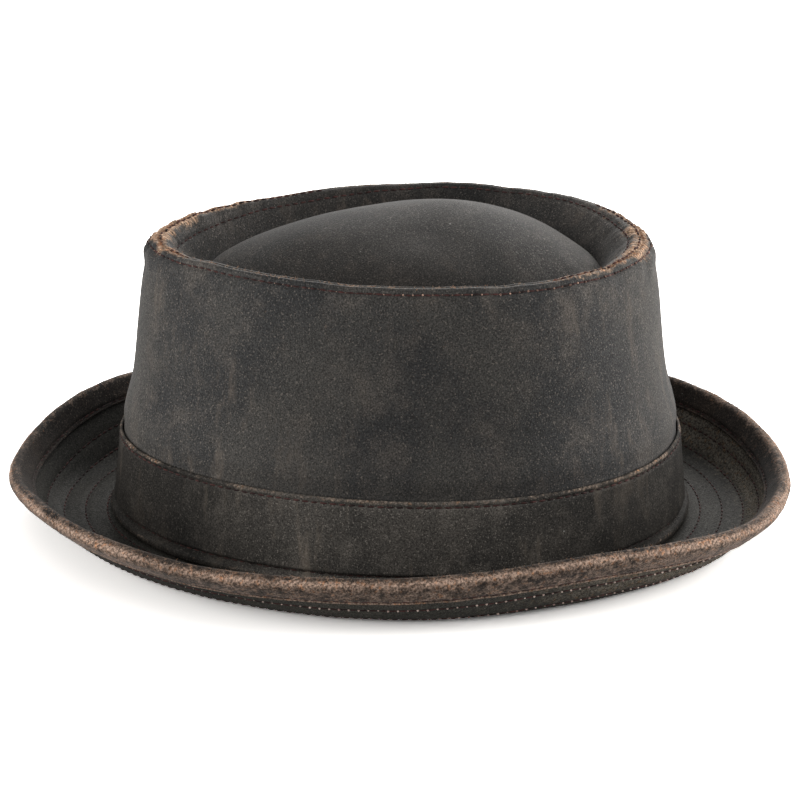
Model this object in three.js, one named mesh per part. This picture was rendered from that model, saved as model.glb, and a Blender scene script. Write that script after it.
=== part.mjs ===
// Porkpie hat of waxed cotton, sewn from flat cloth: an upright crown wall, a telescope top with
// a tear-drop dome, a hatband and a quilted brim, curled up all round and bound at its edge.
// Millimetres. +Z is up, the front of the hat is at -Y and its back at +Y. The origin is on the
// surface that the hat rests on, below the middle of its outline.

import * as THREE from 'three';

// Cloth and the clearance between two pieces of it
const CROWN_WALL = 1.3;
const BAND_WALL = 1.4;
const BRIM_PLY = 1.2;
const BINDING_WALL = 1.1;
const CLEARANCE = 0.3;

// Head opening, measured outside the crown cloth
const HEAD_LENGTH = 213.6;
const HEAD_WIDTH = 174.6;

// Shoulder, where the crown wall turns in towards the ridge seam, and the seam itself
const SHOULDER_LENGTH = 185.4;
const SHOULDER_WIDTH = 146.4;
const SEAM_INSET = 3.5;
const SEAM_LENGTH = SHOULDER_LENGTH - 2 * SEAM_INSET;
const SEAM_WIDTH = SHOULDER_WIDTH - 2 * SEAM_INSET;
const CROWN_HEIGHT = 104.5;
const RIDGE_SIDE_RISE = 1.2;

// Sunk top: the channel inside the ridge, and the dome that stands in it
const CHANNEL_INSET = 15;
const CHANNEL_DEPTH = 16.5;
const DOME_HEIGHT = 28.5;
const DOME_SHIFT = 17.5;
const DOME_FLANK = 1.75;
const DOME_CAP = 0.66;

// An outline is an oval, wider at the back by its egg share. Its fullness is 2 for an ellipse.
const HEAD_EGG = 0.055;
const SEAM_EGG = 0.157;
const HEAD_FULLNESS = 2.05;
const SEAM_FULLNESS = 1.9;

// Hatband
const BAND_HEIGHT = 32;
const BAND_FLARE = 0.7;
const BAND_FLARE_HEIGHT = 5;

// Brim, measured along its cloth from the crown wall to the cut edge, and its bound edge
const BRIM_WIDTH = 46;
const BRIM_BEND = 13;
const BINDING_WIDTH = 9.5;

// Facets
const ROUND_STEPS = 64;
const BEND_STEPS = 4;
const EDGE_STEPS = 4;

// Crown wall above the hatband, up to the shoulder. Below it the wall leans in straight from the
// head opening. The rise is a share of the wall above the band, and the turn a share of the way
// in from the head's size to the shoulder's.
const CROWN_SECTIONS = [
  { rise: 0.020, turn: 0.24 },
  { rise: 0.085, turn: 0.21 },
  { rise: 0.170, turn: 0.32 },
  { rise: 0.295, turn: 0.51 },
  { rise: 0.555, turn: 0.67 },
  { rise: 0.865, turn: 0.86 },
  { rise: 0.940, turn: 1.00 },
];

// From the shoulder to the seam: shares of the way in, and of the height left above the shoulder
const SHOULDER_SECTIONS = [
  { inwards: 0.55, rise: 0.72 },
  { inwards: 1.00, rise: 1.00 },
];

// From the seam down into the channel: shares of the channel's inset, along and across the hat,
// and of its depth
const CHANNEL_SECTIONS = [
  { along: 0.00, across: 0.00, drop: 0.00 },
  { along: 0.22, across: 0.14, drop: 0.05 },
  { along: 0.44, across: 0.27, drop: 0.17 },
  { along: 0.58, across: 0.42, drop: 0.55 },
  { along: 0.74, across: 0.64, drop: 0.91 },
  { along: 1.00, across: 1.00, drop: 1.00 },
];

// Dome outlines as shares of the channel's outline, from the channel in towards the top
const DOME_SECTIONS = [0.95, 0.86, 0.70, 0.50, 0.27];

// Curl of the brim, every 30 degrees from the back by the wearer's left side: the flat part as a
// share of the brim's width, and the angle that the bend turns through
const BRIM_SECTIONS = [
  { at: 'back', flat: 0.42, curl: 57 },
  { at: 'back left', flat: 0.32, curl: 48 },
  { at: 'left, behind', flat: 0.27, curl: 54 },
  { at: 'left', flat: 0.35, curl: 53 },
  { at: 'left, ahead', flat: 0.30, curl: 43 },
  { at: 'front left', flat: 0.26, curl: 48 },
  { at: 'front', flat: 0.38, curl: 50 },
  { at: 'front right', flat: 0.18, curl: 55 },
  { at: 'right, ahead', flat: 0.24, curl: 54 },
  { at: 'right', flat: 0.30, curl: 53 },
  { at: 'right, behind', flat: 0.28, curl: 54 },
  { at: 'back right', flat: 0.30, curl: 55 },
];

const BRIM_THICKNESS = 2 * BRIM_PLY + CLEARANCE;
const CROWN_FOOT = BRIM_THICKNESS + CLEARANCE;
const SEAM_HEIGHT = CROWN_FOOT + CROWN_HEIGHT;

const clothMaterial = (color, roughness) =>
  new THREE.MeshStandardMaterial({ color, roughness, metalness: 0 });

const crownCloth = clothMaterial(0x3a3937, 0.72);
const bandCloth = clothMaterial(0x302a26, 0.78);
const brimCloth = clothMaterial(0x2d2c28, 0.8);
const bindingCloth = clothMaterial(0x826450, 0.85);

const lerp = THREE.MathUtils.lerp;
const UP = new THREE.Vector3(0, 0, 1);

// Angles round the hat, from the back (+Y) by the wearer's left side (+X)
const ROUND_ANGLES = Array.from({ length: ROUND_STEPS }, (_, i) => (2 * Math.PI * i) / ROUND_STEPS);

// Point of an oval outline at an angle
function ovalPoint(angle, { length, width, egg, fullness, height, shift = 0 }) {
  const bulge = (value) => Math.sign(value) * Math.abs(value) ** (2 / fullness);
  const back = Math.cos(angle);
  return new THREE.Vector3(
    0.5 * width * bulge(Math.sin(angle)) * (1 + egg * back),
    0.5 * length * bulge(back) + shift,
    height,
  );
}

const ovalLoop = (oval) => ROUND_ANGLES.map((angle) => ovalPoint(angle, oval));

// The ridge stands a little higher over the sides than at the front and back, and the wall below
// it follows
function raiseSides(loop, rise) {
  return loop.map((point, i) => point.clone().setZ(point.z + rise * Math.sin(ROUND_ANGLES[i]) ** 2));
}

const sideRise = (height) => RIDGE_SIDE_RISE * (height / CROWN_HEIGHT);

// Loops at a distance from a surface of loops, along its outward normals
function offsetLoops(loops, distance) {
  const normalAt = (row, i) => {
    const before = loops[Math.max(row - 1, 0)][i];
    const after = loops[Math.min(row + 1, loops.length - 1)][i];
    const left = loops[row][(i + ROUND_STEPS - 1) % ROUND_STEPS];
    const right = loops[row][(i + 1) % ROUND_STEPS];
    const along = after.clone().sub(before);
    const round = right.clone().sub(left);
    return along.cross(round).normalize();
  };
  return loops.map((loop, row) =>
    loop.map((point, i) => point.clone().addScaledVector(normalAt(row, i), distance)));
}

// Closed body through a chain of loops: a ring when the last loop meets the first, or a body
// between two poles. Each quad is split along its shorter diagonal, so that two cloths that lie
// on each other have the same facets.
function loopGeometry(loops, poles) {
  const positions = [];
  const faces = [];
  const addPoint = (point) => positions.push(point.x, point.y, point.z) / 3 - 1;
  const rows = loops.map((loop) => loop.map(addPoint));
  const links = poles ? rows.length - 1 : rows.length;
  for (let row = 0; row < links; row += 1) {
    const after = (row + 1) % rows.length;
    const here = rows[row];
    const next = rows[after];
    for (let i = 0; i < ROUND_STEPS; i += 1) {
      const j = (i + 1) % ROUND_STEPS;
      if (loops[row][i].distanceTo(loops[after][j]) < loops[row][j].distanceTo(loops[after][i])) {
        faces.push(here[i], next[i], next[j], here[i], next[j], here[j]);
      } else {
        faces.push(here[i], next[i], here[j], here[j], next[i], next[j]);
      }
    }
  }
  if (poles) {
    const first = addPoint(poles.first);
    const last = addPoint(poles.last);
    const end = rows[rows.length - 1];
    for (let i = 0; i < ROUND_STEPS; i += 1) {
      const j = (i + 1) % ROUND_STEPS;
      faces.push(first, rows[0][i], rows[0][j], last, end[j], end[i]);
    }
  }
  const geometry = new THREE.BufferGeometry();
  geometry.setAttribute('position', new THREE.Float32BufferAttribute(positions, 3));
  geometry.setIndex(faces);
  geometry.computeVertexNormals();
  return geometry;
}

function clothPiece(name, material, loops, poles) {
  const mesh = new THREE.Mesh(loopGeometry(loops, poles), material);
  mesh.name = name;
  return mesh;
}

// Outline of the crown wall at a height over its foot and a turn between head and shoulder
function crownOval(height, turn) {
  const share = height / CROWN_HEIGHT;
  return {
    length: lerp(HEAD_LENGTH, SHOULDER_LENGTH, turn),
    width: lerp(HEAD_WIDTH, SHOULDER_WIDTH, turn),
    egg: lerp(HEAD_EGG, SEAM_EGG, share),
    fullness: lerp(HEAD_FULLNESS, SEAM_FULLNESS, share),
    height: CROWN_FOOT + height,
  };
}

const crownLoop = (oval) => raiseSides(ovalLoop(oval), sideRise(oval.height - CROWN_FOOT));

// Outline inside the ridge seam, at insets along and across the hat
function topOval(insetLength, insetWidth, height) {
  return {
    length: SEAM_LENGTH - 2 * insetLength,
    width: SEAM_WIDTH - 2 * insetWidth,
    egg: SEAM_EGG,
    fullness: SEAM_FULLNESS,
    height,
  };
}

// The crown wall's outer face, from the head opening up to the seam
function crownFace() {
  const heights = CROWN_SECTIONS.map(({ rise }) => lerp(BAND_HEIGHT, CROWN_HEIGHT, rise));
  const wall = CROWN_SECTIONS.map(({ turn }, row) => crownLoop(crownOval(heights[row], turn)));
  const shoulderHeight = heights[heights.length - 1];
  const shoulder = SHOULDER_SECTIONS.map(({ inwards, rise }) => {
    const inset = (inwards - 1) * SEAM_INSET;
    const height = CROWN_FOOT + lerp(shoulderHeight, CROWN_HEIGHT, rise);
    return crownLoop(topOval(inset, inset, height));
  });
  return [crownLoop(crownOval(0, 0)), ...wall, ...shoulder];
}

// The two cloth edges meet upright in the seam, half a clearance to each side of it
function seamLoop(side) {
  const inset = 0.5 * side * CLEARANCE;
  return raiseSides(ovalLoop(topOval(inset, inset, SEAM_HEIGHT)), RIDGE_SIDE_RISE);
}

const lowered = (loop, drop) => loop.map((point) => point.clone().setZ(point.z - drop));
const levelled = (loop, height) => loop.map((point) => point.clone().setZ(height));

function makeCrownSide() {
  const outer = crownFace();
  outer[outer.length - 1] = seamLoop(-1);
  const inner = offsetLoops(outer, -CROWN_WALL);
  inner[0] = levelled(inner[0], CROWN_FOOT);
  inner[inner.length - 1] = lowered(outer[outer.length - 1], CROWN_WALL);
  return clothPiece('crown_side', crownCloth, [...outer, ...inner.reverse()]);
}

// Height of the dome above the channel at a share of the channel's outline
const domeHeight = (share) => DOME_HEIGHT * (1 - share ** DOME_FLANK) ** DOME_CAP;

function makeCrownTip() {
  const channelHeight = SEAM_HEIGHT - CHANNEL_DEPTH;
  const channel = CHANNEL_SECTIONS.map(({ along, across, drop }) => {
    const height = SEAM_HEIGHT - drop * CHANNEL_DEPTH;
    const oval = topOval(along * CHANNEL_INSET, across * CHANNEL_INSET, height);
    return raiseSides(ovalLoop(oval), RIDGE_SIDE_RISE * (1 - drop));
  });
  channel[0] = seamLoop(1);
  const base = topOval(CHANNEL_INSET, CHANNEL_INSET, channelHeight);
  const dome = DOME_SECTIONS.map((share) => ovalLoop({
    ...base,
    length: base.length * share,
    width: base.width * share,
    height: channelHeight + domeHeight(share),
    shift: DOME_SHIFT * (1 - share),
  }));
  const outer = [...channel, ...dome];
  const inner = offsetLoops(outer, -CROWN_WALL);
  inner[0] = lowered(outer[0], CROWN_WALL);
  const top = new THREE.Vector3(0, DOME_SHIFT, channelHeight + DOME_HEIGHT);
  const poles = { first: top.clone().addScaledVector(UP, -CROWN_WALL), last: top };
  return clothPiece('crown_tip', crownCloth, [...inner.reverse(), ...outer], poles);
}

// The band lies on the straight foot of the crown wall, and its lower hem flares a little
function makeHatband() {
  const levels = [
    { height: 0, flare: BAND_FLARE },
    { height: BAND_FLARE_HEIGHT, flare: 0 },
    { height: BAND_HEIGHT, flare: 0 },
  ];
  const above = CROWN_SECTIONS[0];
  const straight = lerp(BAND_HEIGHT, CROWN_HEIGHT, above.rise);
  const outer = levels.map(({ height, flare }) => {
    const oval = crownOval(height, above.turn * (height / straight));
    const reach = 2 * (CLEARANCE + BAND_WALL + flare);
    return crownLoop({ ...oval, length: oval.length + reach, width: oval.width + reach });
  });
  const inner = offsetLoops(outer, -BAND_WALL);
  inner[0] = levelled(inner[0], CROWN_FOOT);
  return clothPiece('hatband', bandCloth, [...outer, ...inner.reverse()]);
}

// Flat share and curl angle of the brim, running smoothly through its sections
const brimTable = new THREE.CatmullRomCurve3(
  BRIM_SECTIONS.map(({ flat, curl }) => new THREE.Vector3(flat, THREE.MathUtils.degToRad(curl), 0)),
  true,
  'catmullrom',
);

const brimShapes = ROUND_ANGLES.map((angle) => brimTable.getPoint(angle / (2 * Math.PI)));

// Outward direction, level, at each angle of the head's outline
const headOval = crownOval(0, 0);
const headLoop = ovalLoop({ ...headOval, height: 0 });
const headNormals = headLoop.map((_, i) => {
  const step = Math.PI / 720;
  const before = ovalPoint(ROUND_ANGLES[i] - step, headOval);
  const after = ovalPoint(ROUND_ANGLES[i] + step, headOval);
  return UP.clone().cross(after.sub(before)).normalize();
});

// Point of the brim at a way along its cloth from the crown wall and a height over its mid face:
// level at first, then round the bend, then straight to the edge
function brimPoint(i, way, height) {
  const flat = brimShapes[i].x * BRIM_WIDTH;
  const curl = brimShapes[i].y;
  const radius = BRIM_BEND / curl;
  const turned = THREE.MathUtils.clamp((way - flat) / radius, 0, curl);
  const straight = Math.max(way - flat - BRIM_BEND, 0);
  const level = Math.min(way, flat);
  const out = level + (radius - height) * Math.sin(turned) + straight * Math.cos(turned);
  const up = radius - (radius - height) * Math.cos(turned) + straight * Math.sin(turned);
  return headLoop[i].clone()
    .addScaledVector(headNormals[i], out)
    .addScaledVector(UP, 0.5 * BRIM_THICKNESS + up);
}

const brimLoop = (wayAt, height) => ROUND_ANGLES.map((_, i) => brimPoint(i, wayAt(i), height));

// One cloth of the brim, between two heights over its mid face
function makeBrimPly(name, low, high) {
  const ways = [() => -CROWN_WALL];
  for (let step = 0; step <= BEND_STEPS; step += 1) {
    ways.push((i) => brimShapes[i].x * BRIM_WIDTH + (BRIM_BEND * step) / BEND_STEPS);
  }
  ways.push(() => BRIM_WIDTH);
  const under = ways.map((wayAt) => brimLoop(wayAt, low));
  const upper = ways.map((wayAt) => brimLoop(wayAt, high));
  return clothPiece(name, brimCloth, [...under, ...upper.reverse()]);
}

// The binding folds over the edge: its outer face runs round the edge, and its inner face keeps
// clear of both cloths
function makeBinding() {
  const innerHalf = 0.5 * BRIM_THICKNESS + CLEARANCE;
  const outerHalf = innerHalf + BINDING_WALL;
  const foldWay = BRIM_WIDTH + CLEARANCE;
  const hemWay = BRIM_WIDTH - BINDING_WIDTH;
  const section = [[hemWay, -outerHalf]];
  for (let step = 0; step <= EDGE_STEPS; step += 1) {
    const angle = Math.PI * (step / EDGE_STEPS - 0.5);
    section.push([foldWay + BINDING_WALL * Math.cos(angle), outerHalf * Math.sin(angle)]);
  }
  section.push([hemWay, outerHalf], [hemWay, innerHalf], [foldWay, innerHalf]);
  section.push([foldWay, -innerHalf], [hemWay, -innerHalf]);
  const loops = section.map(([way, height]) => brimLoop(() => way, height));
  return clothPiece('brim_binding', bindingCloth, loops);
}

const half = 0.5 * CLEARANCE;
const hat = new THREE.Group();
hat.name = 'porkpie_hat';
hat.add(
  makeCrownSide(),
  makeCrownTip(),
  makeHatband(),
  makeBrimPly('brim_under', -half - BRIM_PLY, -half),
  makeBrimPly('brim_upper', half, half + BRIM_PLY),
  makeBinding(),
);

// The brim's curl isn't quite the same all round, so the middle of the outline is found from it
const middle = new THREE.Box3().setFromObject(hat).getCenter(new THREE.Vector3());
hat.position.set(-middle.x, -middle.y, 0);

export default hat;
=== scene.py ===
# %% [markdown]
# A porkpie hat of waxed cotton
#
# The real hat is sewn from flat pieces of waxed cotton: a strip for the crown wall, an egg-shaped
# top, a hatband, two layers for the brim and a binding folded over its edge. Here every piece
# starts the same way, as a flat grid, and each corner of the grid is then carried to its place on
# the hat. That keeps the piece's own UV map, as long and as wide as the real cloth, so the weave
# runs along the cloth and not through it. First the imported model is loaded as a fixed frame.

# %% Load the frame
from bisect import bisect_right
from functools import lru_cache, partial
from math import copysign, cos, exp, hypot, radians, sin, tau
from random import Random

import bmesh
import bpy
from mathutils import Matrix, Vector, noise


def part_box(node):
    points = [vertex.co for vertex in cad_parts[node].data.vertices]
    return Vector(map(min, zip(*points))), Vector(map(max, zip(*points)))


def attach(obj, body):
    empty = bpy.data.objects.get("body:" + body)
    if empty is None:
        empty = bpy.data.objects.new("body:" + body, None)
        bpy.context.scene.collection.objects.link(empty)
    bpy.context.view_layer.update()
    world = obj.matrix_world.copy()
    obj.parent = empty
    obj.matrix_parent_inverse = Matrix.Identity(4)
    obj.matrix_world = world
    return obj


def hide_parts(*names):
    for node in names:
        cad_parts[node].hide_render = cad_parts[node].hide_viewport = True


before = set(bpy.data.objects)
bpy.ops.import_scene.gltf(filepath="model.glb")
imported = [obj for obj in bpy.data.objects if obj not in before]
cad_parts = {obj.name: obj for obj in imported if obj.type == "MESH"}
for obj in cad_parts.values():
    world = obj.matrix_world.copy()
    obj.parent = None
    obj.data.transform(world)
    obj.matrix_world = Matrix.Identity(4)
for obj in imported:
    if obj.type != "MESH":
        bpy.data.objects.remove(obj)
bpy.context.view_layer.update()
print("nodes:", sorted(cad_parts))

# %% [markdown]
# The sizes come from the frame wherever a node's box gives them. The rest are the thicknesses of
# the cloths and the shares that shape the ovals. An angle runs round the hat from the back (+Y),
# by the wearer's left side (+X), to the front and on.

# %% Sizes
MM = 0.001
CLEARANCE = 0.3 * MM
CROWN_WALL = 1.3 * MM
BRIM_PLY = 1.2 * MM
BRIM_THICKNESS = 2 * BRIM_PLY + CLEARANCE

HEAD_EGG = 0.055
SEAM_EGG = 0.157
HEAD_FULLNESS = 2.05
SEAM_FULLNESS = 1.9
RIDGE_SIDE_RISE = 1.2 * MM
CHANNEL_INSET = 15 * MM
CHANNEL_DEPTH = 16.5 * MM
DOME_SHIFT = 17.5 * MM
SHOULDER_INSET = 3.5 * MM
BRIM_WIDTH = 46 * MM
BRIM_BEND = 13 * MM
BINDING_WIDTH = 9.5 * MM


def bulge(value, fullness):
    """Sine or cosine of an oval that is fuller or leaner than an ellipse."""
    return copysign(abs(value) ** (2 / fullness), value)


def oval_width(low, high, egg, fullness):
    """Width of an egg-shaped oval, from the box that it fills."""
    spread = max(bulge(sin(tau * i / 64), fullness) * (1 + egg * cos(tau * i / 64)) for i in range(64))
    return (high.x - low.x) / spread


side_low, side_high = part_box("crown_side")
tip_low, tip_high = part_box("crown_tip")
band_low, band_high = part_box("hatband")

MIDDLE = Vector(((side_low.x + side_high.x) / 2, (side_low.y + side_high.y) / 2, 0))
UP = Vector((0, 0, 1))
HEAD_LENGTH = side_high.y - side_low.y
HEAD_WIDTH = oval_width(side_low, side_high, HEAD_EGG, HEAD_FULLNESS)
SEAM_LENGTH = tip_high.y - tip_low.y + CLEARANCE
SEAM_WIDTH = oval_width(tip_low, tip_high, SEAM_EGG, SEAM_FULLNESS) + CLEARANCE
SHOULDER_LENGTH = SEAM_LENGTH + 2 * SHOULDER_INSET
SHOULDER_WIDTH = SEAM_WIDTH + 2 * SHOULDER_INSET
CROWN_FOOT = side_low.z
SEAM_HEIGHT = side_high.z - RIDGE_SIDE_RISE
CROWN_HEIGHT = SEAM_HEIGHT - CROWN_FOOT
DOME_HEIGHT = tip_high.z - (SEAM_HEIGHT - CHANNEL_DEPTH)
print("head oval, mm:", round(HEAD_LENGTH / MM, 1), "x", round(HEAD_WIDTH / MM, 1))
print("seam oval, mm:", round(SEAM_LENGTH / MM, 1), "x", round(SEAM_WIDTH / MM, 1))
print("hatband height, mm:", round((band_high.z - band_low.z) / MM, 1))

# %% [markdown]
# Cloth has no corners where it isn't creased, so a piece's section is a short table of rows with
# a smooth curve through them. The curve below is a Hermite spline that is measured along the
# cloth: each row knows how far along the piece it lies, and everything else on the piece, such as
# a line of stitches, can be placed by that same measure.

# %% Smooth sections
def mix(first, second, share):
    return first + (second - first) * share


def smooth_step(share):
    share = min(max(share, 0.0), 1.0)
    return share * share * (3 - 2 * share)


def near(distance, width):
    """1 on a line, falling smoothly to nothing about two widths away from it."""
    return exp(-(distance / width) ** 2)


def curve_between(share, start, start_slope, end, end_slope):
    """A cubic from one value to the next that leaves and arrives at the given slopes."""
    return (
        (2 * share ** 3 - 3 * share ** 2 + 1) * start
        + (share ** 3 - 2 * share ** 2 + share) * start_slope
        + (3 * share ** 2 - 2 * share ** 3) * end
        + (share ** 3 - share ** 2) * end_slope
    )


def way_marks(rows, wide=2, high=0, halved=2):
    """How far along its section each row lies."""
    marks = [0.0]
    for here, after in zip(rows, rows[1:]):
        step = hypot(after[high] - here[high], (after[wide] - here[wide]) / halved)
        marks.append(marks[-1] + step)
    return marks


def run_through(rows, marks, way):
    """The values of a section at a way along it."""
    row = min(max(bisect_right(marks, way) - 1, 0), len(rows) - 2)
    span = marks[row + 1] - marks[row]
    share = (way - marks[row]) / span
    values = []
    for column in range(len(rows[0])):
        slopes = []
        for place in (row, row + 1):
            before = max(place - 1, 0)
            after = min(place + 1, len(rows) - 1)
            rise = rows[after][column] - rows[before][column]
            slopes.append(span * rise / (marks[after] - marks[before]))
        start, end = rows[row][column], rows[row + 1][column]
        values.append(curve_between(share, start, slopes[0], end, slopes[1]))
    return values


print("the curve's middle between 0 and 1, from level to level:", curve_between(0.5, 0, 0, 1, 0))


def oval(angle, length, width, egg, fullness, height):
    """Point of an oval outline that is wider at the back by its egg share."""
    back = cos(angle)
    across = 0.5 * width * bulge(sin(angle), fullness) * (1 + egg * back)
    return MIDDLE + Vector((across, 0.5 * length * bulge(back, fullness), height))


RADIAN = 57.3


def round_noise(angle, size, depth, layer):
    """Noise that closes on itself round the hat: size is its grain in degrees."""
    reach = RADIAN / size
    return noise.noise(Vector((cos(angle) * reach, sin(angle) * reach, depth + 7.3 * layer)))


# %% [markdown]
# Making a piece: `create_grid` gives the flat cloth with its UV map, the face function says where
# each corner lies, the two short ends are welded where they meet, and a Solidify modifier gives
# the cloth its thickness on the inside. A float attribute called wear is painted on the corners
# at the same time, and the materials use it to rub the wax off folds and edges.

# %% Sewing a piece
ROUND_STEPS = 420
GIRTH = 0.62
SMALL_TURN = 0.004
SMALL_WAY = 0.3 * MM


def raised(base, relief, angle, way, height=0.0):
    """Point over a face of cloth: its base shape, its relief and a height above both."""
    point = base(angle, way)
    across = base(angle, way + SMALL_WAY) - base(angle, way - SMALL_WAY)
    along = base(angle + SMALL_TURN, way) - base(angle - SMALL_TURN, way)
    return point + across.cross(along).normalized() * (height + relief(angle, way, point))


def steps_between(stops):
    """Ways along a piece, from stops that are each a way and the step to use up to it."""
    ways = [stops[0][0]]
    for end, step in stops[1:]:
        start = ways[-1]
        count = max(round(abs(end - start) / step), 1)
        ways += [mix(start, end, (i + 1) / count) for i in range(count)]
    return ways


def face_outwards(cloth, face, ways):
    """Turn the faces over if the cloth lies wrong side out."""
    middle = ways[len(ways) // 2]
    outwards = face(0.5, middle, MM) - face(0.5, middle)
    place = face(0.5, middle)
    nearest = min(cloth.faces, key=lambda each: (each.calc_center_median() - place).length)
    if nearest.normal.dot(outwards) < 0:
        bmesh.ops.reverse_faces(cloth, faces=cloth.faces)


def sew_round(name, face, ways, wear, thickness, node):
    """A piece of cloth that runs round the hat and replaces one node of the frame."""
    cloth = bmesh.new()
    rows = len(ways) - 1
    bmesh.ops.create_grid(cloth, x_segments=ROUND_STEPS, y_segments=rows, size=0.5, calc_uvs=True)
    uv_map = cloth.loops.layers.uv.verify()
    rubbed = cloth.verts.layers.float.new("wear")
    for each in cloth.faces:
        each.smooth = True
        for loop in each.loops:
            row = round((loop.vert.co.y + 0.5) * rows)
            loop[uv_map].uv = ((loop.vert.co.x + 0.5) * GIRTH, ways[row])
    for corner in cloth.verts:
        step = round((corner.co.x + 0.5) * ROUND_STEPS) % ROUND_STEPS
        angle = tau * step / ROUND_STEPS
        way = ways[round((corner.co.y + 0.5) * rows)]
        corner[rubbed] = wear(angle, way)
        corner.co = face(angle, way)
    bmesh.ops.remove_doubles(cloth, verts=cloth.verts, dist=0.002 * MM)
    cloth.normal_update()
    face_outwards(cloth, face, ways)
    mesh = bpy.data.meshes.new(name)
    cloth.to_mesh(mesh)
    cloth.free()
    piece = bpy.data.objects.new(name, mesh)
    bpy.context.scene.collection.objects.link(piece)
    wall = piece.modifiers.new("cloth thickness", "SOLIDIFY")
    wall.thickness = thickness
    wall.offset = -1
    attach(piece, "root")
    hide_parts(node)
    print(name, "has", len(mesh.polygons), "faces")
    return piece


# %% [markdown]
# The crown wall stands upright on the brim, pulls in a little above the hatband, and turns in
# over a soft shoulder to the ridge seam. Near the ridge its cloth is folded and stitched down, so
# it bulges between the seam and a line of top stitches, and it puckers where the oval is
# tightest, at the front and the back.

# %% Crown wall
WALL_SHARES = [
    # height, way in from the head oval to the shoulder, way in from the shoulder to the seam
    (0.000, 0.00, 0.0),
    (0.160, 0.12, 0.0),
    (0.320, 0.23, 0.0),
    (0.365, 0.22, 0.0),
    (0.424, 0.32, 0.0),
    (0.511, 0.49, 0.0),
    (0.691, 0.67, 0.0),
    (0.860, 0.82, 0.0),
    (0.925, 0.92, 0.0),
    (0.960, 1.00, 0.0),
    (0.982, 1.00, 0.28),
    (0.996, 1.00, 0.68),
    (1.000, 1.00, 0.90),
    (0.990, 1.00, 1.02),
    (0.978, 1.00, 1.03),
]
RIDGE_STITCH_DROP = 2.7 * MM


def wall_row(height, turn, inwards):
    length = mix(HEAD_LENGTH, SHOULDER_LENGTH, turn) - 2 * SHOULDER_INSET * inwards
    width = mix(HEAD_WIDTH, SHOULDER_WIDTH, turn) - 2 * SHOULDER_INSET * inwards
    return (height * CROWN_HEIGHT, length, width)


WALL_ROWS = [wall_row(*shares) for shares in WALL_SHARES]
WALL_MARKS = way_marks(WALL_ROWS)
WALL_CREST = WALL_MARKS[-3]
wall_section = lru_cache(maxsize=None)(partial(run_through, WALL_ROWS, WALL_MARKS))
print("wall cloth from its foot to the ridge, mm:", round(WALL_CREST / MM, 1))


# %% [markdown]
# Soft cloth never keeps its section exactly. The ridge wanders in height and sinks at its ends,
# small creases run over it, the stitches pull in a line below it, and the wall has shallow dents.
# Wear follows the same shape: hands take the hat by the ridge's ends, so the cloth is bare there.


# %% Softness and wear of the ridge
def ridge_wave(angle):
    """The ridge is soft, so its height wanders a little, and its two ends sink a little."""
    wander = 0.55 * round_noise(angle, 24, 0, 1) + 0.5 * round_noise(angle, 9, 0, 2)
    return MM * (wander - 1.0 * cos(angle) ** 8)


def ridge_end(angle):
    """1 at the front and the back of the ridge, 0 along its sides. The worn stretches reach
    further round on one side than on the other."""
    start = 0.68 - 0.3 * sin(angle) * cos(angle)
    return smooth_step((abs(cos(angle)) - start) / (1 - start))


def pucker(angle, from_seam):
    """Small creases that run over the ridge, strongest where it is tightest."""
    crease = round_noise(angle, 4.2, from_seam * 90, 3) + 0.5 * round_noise(angle, 2, from_seam * 160, 4)
    return MM * (0.2 + 0.9 * ridge_end(angle)) * crease * near(from_seam, 8 * MM)


def wall_base(angle, way):
    height, length, width = wall_section(way)
    share = height / CROWN_HEIGHT
    egg = mix(HEAD_EGG, SEAM_EGG, share)
    fullness = mix(HEAD_FULLNESS, SEAM_FULLNESS, share)
    rise = RIDGE_SIDE_RISE * share * sin(angle) ** 2 + ridge_wave(angle) * share ** 6
    return oval(angle, length, width, egg, fullness, CROWN_FOOT + height + rise)


def wall_relief(angle, way, point):
    from_seam = WALL_CREST - way
    free = smooth_step((point.z - 0.036) / 0.02)
    dents = MM * (0.7 * noise.noise(point * 19) + 0.3 * noise.noise(point * 47)) * free
    line = -0.5 * MM * near(from_seam - RIDGE_STITCH_DROP, 0.9 * MM)
    roll = 0.4 * MM * near(from_seam - 1.3 * MM, 1.1 * MM)
    corner = 1.5 * MM * cos(angle) ** 6 * near(from_seam - 5 * MM, 4 * MM)
    return dents * (1 - near(from_seam, 6 * MM)) + line + roll + corner + pucker(angle, from_seam)


def ridge_wear(angle, from_seam):
    """Rubbed edge: wide and strong at the ridge's two ends, thin along its sides."""
    patch = smooth_step(0.5 + 0.9 * round_noise(angle, 5, 0, 5))
    reach = MM * (0.6 + 3.4 * ridge_end(angle) * patch)
    front_right = smooth_step((-cos(angle) - 0.3) / 0.3) * smooth_step(-sin(angle) / 0.3)
    thin = 0.55 * front_right * near(from_seam, 0.9 * MM)
    back_end = 0.5 * smooth_step((cos(angle) - 0.75) / 0.2) * near(from_seam, 4.5 * MM) * patch
    ends = (0.26 + 0.20 * patch + 0.54 * ridge_end(angle)) * near(from_seam, reach)
    return max(ends, back_end) + thin


def wall_wear(angle, way):
    return ridge_wear(angle, max(WALL_CREST - way, 0.0))


# %% [markdown]
# The wall is laid from its foot upwards, in coarse steps behind the hatband and fine ones where
# the ridge is creased.

# %% Crown wall cloth
crown_wall = partial(raised, wall_base, wall_relief)
crown_wall_ways = steps_between([
    (0.0, 0),
    (30 * MM, 6 * MM),
    (WALL_CREST - 7 * MM, 2.2 * MM),
    (WALL_MARKS[-1], 0.5 * MM),
])
crown_wall_cloth = sew_round(
    "crown_wall_cloth", crown_wall, crown_wall_ways, wall_wear, CROWN_WALL * 0.8,
    "crown_side",
)

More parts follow.
